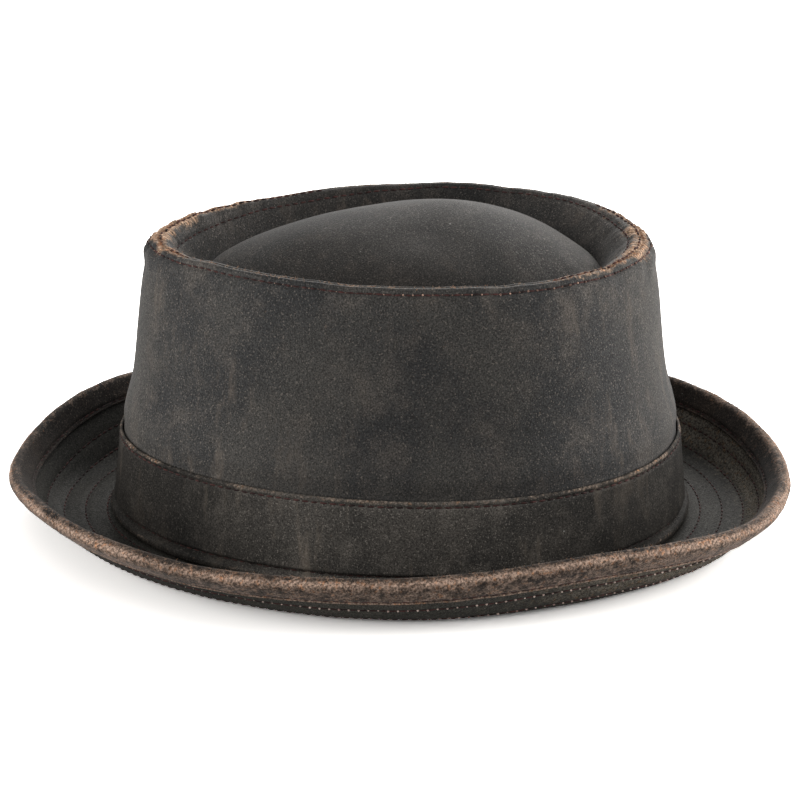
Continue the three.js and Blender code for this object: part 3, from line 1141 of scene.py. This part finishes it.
rub_tree, rub_in, rub_out = new_group(
    "rubbed_edge", [("Where", "Vector"), ("Wear", "Float")], [("Mask", "Float")]
)
ragged = noise_at(rub_tree, rub_in["Where"], 330, 6, 0.75)
rubbed_here = maths(rub_tree, "ADD", rub_in["Wear"], maths(rub_tree, "MULTIPLY_ADD", ragged, 2.0, -1.0))
rub_tree.links.new(between(rub_tree, rubbed_here, 0.25, 0.8), rub_out["Mask"])

twill_tree, twill_in, twill_out = new_group(
    "twill", [("Cloth", "Vector"), ("Pitch", "Float")], [("Height", "Float")]
)
RIBS_PER_PITCH = 0.314 * 0.7
rib_scale = maths(twill_tree, "DIVIDE", RIBS_PER_PITCH, twill_in["Pitch"])
rib_inputs = {"Vector": twill_in["Cloth"], "Scale": rib_scale, "Distortion": 2.5, "Detail": 2.0}
ribs = add_node(twill_tree, "TexWave", rib_inputs, wave_type="BANDS", bands_direction="DIAGONAL")
twill_tree.links.new(ribs.outputs["Fac"], twill_out["Height"])
print("groups:", [group.name for group in bpy.data.node_groups])

# %% [markdown]
# One function makes the material of a waxed cloth from its colours. Its twill follows the UV map,
# its blotches and scuffs are read in the object's own space, and a Bump node turns the grain
# into relief. Scuffs are a noise drawn out upwards, the way hands rub a crown. Sheen is set on the
# shader itself: waxed cotton has a faint bloom at grazing light.


# %% Waxed cloth
def waxed_cloth(
    name, deep, body, dusty, bare, haze=0.5, dust_and_top_light_from=1.0, rough=0.62, sheen=0.2, specular=0.25,
    streak=0.45, streak_scale=150, grain=0.45, pitch=0.75, rib=0.4, painted_end_shade=0.0,
):
    """A material for one cloth. Above a given height the cloth grows hazier and lighter: partly a dusty
    haze, and partly painted light on the top of the piece. pitch is the twill's in millimetres, and rib
    is how much of it shows where the wax is rubbed off. By a share given for the ends, the front and the
    back are painted darker than the middle, as painted shade, or lighter where that share is below zero,
    as painted light."""
    material = bpy.data.materials.new(name)
    material.use_nodes = True
    tree = material.node_tree
    shader = tree.nodes["Principled BSDF"]
    where = add_node(tree, "TexCoord").outputs
    axes = add_node(tree, "SeparateXYZ", {0: where["Object"]}).outputs
    level = axes[2]
    lengthways = maths(tree, "ABSOLUTE", axes[1])
    wear = add_node(tree, "Attribute", attribute_name="wear").outputs["Fac"]
    # Above its starting height the haze grows and the cloth gets lighter: partly a dusty haze, partly
    # painted light on the top of the piece.
    haze_and_top_light = between(tree, level, dust_and_top_light_from, dust_and_top_light_from + 0.02, haze, haze + 0.25)
    wax = use_group(tree, wax_tree, {
        "Where": where["Object"],
        "Deep": (*deep, 1),
        "Body": (*body, 1),
        "Dusty": (*dusty, 1),
        "Haze": haze_and_top_light,
    })
    upright = {"Vector": where["Object"], "Scale": (1.0, 1.0, 0.2)}
    stretched = add_node(tree, "Mapping", upright).outputs[0]
    streaks = between(tree, noise_at(tree, stretched, streak_scale, 7, 0.7), 0.50, 0.74)
    places = between(tree, noise_at(tree, where["Object"], 15, 3), 0.42, 0.60)
    scuffed = maths(tree, "MULTIPLY", maths(tree, "MULTIPLY", streaks, places), streak)
    scuff_colour = (2.4 * dusty[0], 2.2 * dusty[1], 2.0 * dusty[2], 1)
    colour = blend(tree, scuffed, wax["Color"], scuff_colour)
    twill = use_group(tree, twill_tree, {"Cloth": where["UV"], "Pitch": pitch * MM})["Height"]
    rub = use_group(tree, rub_tree, {"Where": where["Object"], "Wear": wear})["Mask"]
    bare_tone = between(tree, noise_at(tree, where["Object"], 1300, 2, 0.7), 0.32, 0.68, 0.3, 1.7)
    bare_tone = maths(tree, "MULTIPLY", bare_tone, maths(tree, "MULTIPLY_ADD", twill, 2 * rib, 1 - rib))
    # The most worn places are brighter still: bare cotton, and on the binding's fold and the hatband's
    # top fold a painted highlight as well.
    bare_tone = maths(tree, "MULTIPLY", bare_tone, between(tree, wear, 0.65, 1.0, 1.0, 1.6))
    orange = between(tree, noise_at(tree, where["Object"], 600, 3), 0.54, 0.70)
    bare_tint = blend(tree, orange, (*bare, 1), (1.25 * bare[0], 0.92 * bare[1], 0.68 * bare[2], 1))
    bare_colour = times(tree, bare_tint, bare_tone)
    # Painted light and shade at the ends: with a share above zero the front and the back are painted
    # darker and the middle lighter; below zero the ends are painted lighter and the middle darker.
    painted_end_light_and_shade = between(tree, lengthways, 0.03, 0.08, 1 + 0.8 * painted_end_shade, 1 - painted_end_shade)
    colour = times(tree, colour, painted_end_light_and_shade)
    colour = blend(tree, rub, colour, bare_colour)
    lint = use_group(tree, lint_tree, {"Where": where["Object"], "Scale": 100.0})["Mask"]
    colour = blend(tree, maths(tree, "MULTIPLY", lint, 0.8), colour, (0.42, 0.42, 0.40, 1))
    height = maths(tree, "ADD", wax["Height"], maths(tree, "MULTIPLY", twill, 0.12))
    bump = add_node(tree, "Bump", {"Strength": grain, "Distance": 0.25 * MM, "Height": height})
    roughness = between(tree, wax["Height"], 0.2, 0.8, rough + 0.12, rough - 0.08)
    worn_rough = maths(tree, "MULTIPLY", rub, 0.9)
    tree.links.new(colour, shader.inputs["Base Color"])
    tree.links.new(maths(tree, "MAXIMUM", roughness, worn_rough), shader.inputs["Roughness"])
    tree.links.new(bump.outputs["Normal"], shader.inputs["Normal"])
    shader.inputs["Sheen Weight"].default_value = sheen
    shader.inputs["Sheen Roughness"].default_value = 0.4
    shader.inputs["Specular IOR Level"].default_value = specular
    print("material", name, "has", len(tree.nodes), "nodes")
    return material


# %% [markdown]
# The five cloths differ in small ways. The crown is a cool charcoal that is hazier and lighter near the
# ridge, partly from a dusty haze and partly from painted light, with painted light at its front and
# back.
# Its sunk top is warmer and darker, with painted light on the dome's top and at its ends. The hatband is
# browner and streaky, with painted shade at its ends. The brim is an even olive black with painted shade
# at its ends, and the binding is nearly bare. Colours are linear values for red, green and blue.

# %% Colours of the cloths
crown_finish = waxed_cloth(
    "crown_waxed_charcoal", deep=(0.0235, 0.0238, 0.0243), body=(0.0410, 0.0393, 0.0367),
    dusty=(0.074, 0.065, 0.057), bare=(0.24, 0.165, 0.115), dust_and_top_light_from=0.086,
    sheen=0.08, specular=0.14, streak=0.34, painted_end_shade=-0.13,
)
top_finish = waxed_cloth(
    "top_waxed_charcoal", deep=(0.0220, 0.0214, 0.0206), body=(0.0325, 0.0300, 0.0278),
    dusty=(0.070, 0.061, 0.054), bare=(0.24, 0.165, 0.115), haze=0.45, dust_and_top_light_from=0.104,
    sheen=0.08, specular=0.14, painted_end_shade=-0.4,
)
band_finish = waxed_cloth(
    "band_waxed_brown", deep=(0.026, 0.0248, 0.0231), body=(0.043, 0.0397, 0.0358),
    dusty=(0.085, 0.077, 0.068), bare=(0.150, 0.118, 0.095), haze=0.8, sheen=0.0, specular=0.08,
    streak=0.6, streak_scale=90, painted_end_shade=0.5,
)
brim_finish = waxed_cloth(
    "brim_waxed_olive", deep=(0.028, 0.0275, 0.0245), body=(0.037, 0.0355, 0.0310),
    dusty=(0.052, 0.049, 0.043), bare=(0.080, 0.072, 0.060), haze=0.4, sheen=0.0, specular=0.08,
    streak=0.15, grain=0.3, painted_end_shade=0.25, rib=0.0,
)
binding_finish = waxed_cloth(
    "binding_waxed_tan", deep=(0.012, 0.010, 0.009), body=(0.022, 0.017, 0.014),
    dusty=(0.050, 0.038, 0.030), bare=(0.170, 0.122, 0.095), haze=0.5, rough=0.75,
    sheen=0.08, specular=0.12, streak=0.3, pitch=0.7, rib=0.15,
)


def dress(pieces, material):
    for piece in pieces:
        piece.data.materials.clear()
        piece.data.materials.append(material)


dress([crown_wall_cloth], crown_finish)
dress([crown_top_cloth], top_finish)
dress([hatband_cloth], band_finish)
dress([brim_upper_cloth, brim_under_cloth], brim_finish)
dress([binding_cloth], binding_finish)

# %% [markdown]
# The sewing thread is dark red brown. Where a stitch dives into the cloth it is pulled tight and catches
# the light, and the knots there are painted paler as a painted highlight: uneven on the ridge, and
# palest under the brim. The frayed fibres are bare cotton, from orange to tan.


# %% Thread and fibres
def yarn(name, first, second, rough, scale, low=0.38, high=0.62):
    """Two colours of one yarn, in patches."""
    material = bpy.data.materials.new(name)
    material.use_nodes = True
    tree = material.node_tree
    shader = tree.nodes["Principled BSDF"]
    where = add_node(tree, "TexCoord").outputs["Object"]
    share = between(tree, noise_at(tree, where, scale, 3, 0.7), low, high)
    tree.links.new(blend(tree, share, (*first, 1), (*second, 1)), shader.inputs["Base Color"])
    shader.inputs["Roughness"].default_value = rough
    shader.inputs["Specular IOR Level"].default_value = 0.2
    return material


thread = yarn("thread_dark_red", (0.014, 0.007, 0.007), (0.062, 0.024, 0.022), 0.7, 160)
# Painted highlights: the knots' paler colours stand in for the light that the tight thread catches.
ridge_knot_highlight = yarn("thread_ridge_knot_highlight", (0.05, 0.025, 0.022), (0.46, 0.29, 0.22), 0.6, 420, 0.42, 0.62)
curl_knot_highlight = yarn("thread_curl_knot_highlight", (0.30, 0.19, 0.17), (0.75, 0.60, 0.53), 0.6, 130)
fibre = yarn("fibre_tan", (0.36, 0.17, 0.09), (0.34, 0.26, 0.19), 0.8, 300)

dress([ridge_stitches, inner_stitches, band_stitches, binding_stitches, seam_stitches], thread)
dress([brim_upper_stitches, flat_stitches, curl_stitches], thread)
dress([knot_pieces["ridge_stitches"]], ridge_knot_highlight)
dress([knot_pieces["curl_stitches"]], curl_knot_highlight)
dress([ridge_fray, top_fray, binding_fray], fibre)
print("materials:", [each.name for each in bpy.data.materials])

# %% [markdown]
# The set. The hat stands on white paper that is burnt out in the photograph but still shows the
# hat's soft shadow, so the floor looks brighter to the camera than it is to the light: a Light
# Path node gives camera rays a whiter paper, and the bounce on the hat stays natural.

# %% Floor and sky
floor_mesh = bmesh.new()
bmesh.ops.create_grid(floor_mesh, x_segments=1, y_segments=1, size=6)
floor_data = bpy.data.meshes.new("floor")
floor_mesh.to_mesh(floor_data)
floor_mesh.free()
floor = bpy.data.objects.new("floor", floor_data)
floor.location.z = -0.05 * MM
bpy.context.scene.collection.objects.link(floor)
floor_finish = bpy.data.materials.new("floor_white")
floor_finish.use_nodes = True
tree = floor_finish.node_tree
seen = add_node(tree, "LightPath").outputs["Is Camera Ray"]
paper = blend(tree, seen, (0.8, 0.8, 0.8, 1), (2.0, 2.0, 2.0, 1))
matt = add_node(tree, "BsdfDiffuse", {"Color": paper})
tree.links.new(matt.outputs[0], tree.nodes["Material Output"].inputs["Surface"])
floor_data.materials.append(floor_finish)

sky = bpy.data.worlds.new("sky")
sky.use_nodes = True
sky.node_tree.nodes["Background"].inputs["Color"].default_value = (1, 1, 1, 1)
sky.node_tree.nodes["Background"].inputs["Strength"].default_value = 0.45
bpy.context.scene.world = sky
bpy.context.scene.view_settings.view_transform = "Standard"
print("floor and sky are set")

# %% [markdown]
# Three soft lights add to an even white sky: one high behind the hat that brightens the dome, and
# one lower past each end, which model the crown's front and back and leave its middle dark.


# %% Lights
def soft_light(name, place, size, height, power):
    """A rectangular soft light that faces the middle of the hat."""
    lamp = bpy.data.lights.new(name, "AREA")
    lamp.shape = "RECTANGLE"
    lamp.size = size
    lamp.size_y = height
    lamp.energy = power
    lamp.color = (1.0, 0.975, 0.945)
    made = bpy.data.objects.new(name, lamp)
    made.location = place
    towards = Vector((0, 0, 0.05)) - made.location
    made.rotation_euler = towards.to_track_quat("-Z", "Y").to_euler()
    bpy.context.scene.collection.objects.link(made)
    return made


soft_light("light_behind", (-1.4, 0.4, 1.0), 1.3, 0.8, 21)
soft_light("light_front_side", (0.5, -1.2, 0.5), 0.9, 0.9, 14)
soft_light("light_back_side", (0.0, 1.3, 0.5), 0.9, 0.9, 21)

print("lights:", [each.name for each in bpy.data.lights])

# %% [markdown]
# The camera is 1.1 m from the hat and looks down on it at 19 degrees. Its place and its lens were
# worked out from the photograph.

# %% Camera
TARGET = Vector((MIDDLE.x, MIDDLE.y, 43.3 * MM))
DISTANCE = 1.1
ELEVATION = radians(19.2)
lens = bpy.data.cameras.new("camera")
lens.lens = 131.6
lens.sensor_width = 36
lens.clip_end = 20
camera = bpy.data.objects.new("camera", lens)
camera.location = TARGET + DISTANCE * Vector((cos(ELEVATION), 0, sin(ELEVATION)))
camera.rotation_euler = (TARGET - camera.location).to_track_quat("-Z", "Y").to_euler()
bpy.context.scene.collection.objects.link(camera)
bpy.context.scene.camera = camera
print("camera at", [round(value, 4) for value in camera.location])
